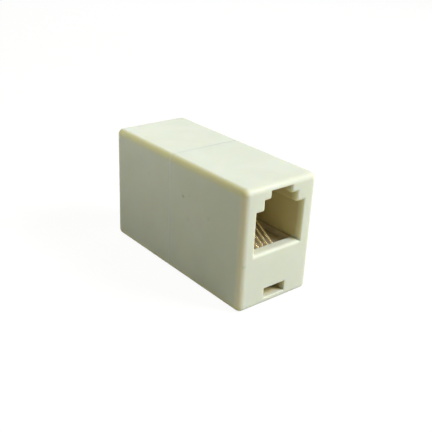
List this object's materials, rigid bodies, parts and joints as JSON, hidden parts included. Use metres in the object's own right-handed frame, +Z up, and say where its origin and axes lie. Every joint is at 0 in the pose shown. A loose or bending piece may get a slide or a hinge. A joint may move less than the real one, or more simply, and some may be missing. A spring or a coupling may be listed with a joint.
{
  "type": "rj11 inline coupler",
  "caption": "Inline coupler that joins modular telephone plugs end to end: a small rectangular ivory housing with a stepped jack opening and gold contact springs in each end.",
  "frame": {"origin": "middle of the underside, on the surface that the coupler rests on", "axes": "+Y runs along the body from the front jack to the rear jack, +X across it, +Z up, with the latch channels on top"},
  "size_m": [0.015, 0.0358, 0.021],
  "materials": {
    "housing": "ivory ABS, moulded, soft gloss",
    "insert": "ivory moulded plastic, satin",
    "contact_gold": "gold-plated phosphor bronze, polished",
    "splice_tin": "tin-plated brass, satin",
    "lead_black": "soft PVC insulation, satin",
    "lead_red": "soft PVC insulation, satin",
    "lead_green": "soft PVC insulation, satin",
    "lead_yellow": "soft PVC insulation, satin"
  },
  "bodies": {
    "root": {"front_shell": "housing", "rear_shell": "housing", "front_contact_block": "insert", "rear_contact_block": "insert", "front_contact_1": "contact_gold", "front_contact_2": "contact_gold", "front_contact_3": "contact_gold", "front_contact_4": "contact_gold", "front_splice_1": "splice_tin", "front_splice_2": "splice_tin", "front_splice_3": "splice_tin", "front_splice_4": "splice_tin", "rear_contact_1": "contact_gold", "rear_contact_2": "contact_gold", "rear_contact_3": "contact_gold", "rear_contact_4": "contact_gold", "rear_splice_1": "splice_tin", "rear_splice_2": "splice_tin", "rear_splice_3": "splice_tin", "rear_splice_4": "splice_tin", "link_wire_1": "lead_black", "link_wire_2": "lead_red", "link_wire_3": "lead_green", "link_wire_4": "lead_yellow"}
  },
  "joints": []
}
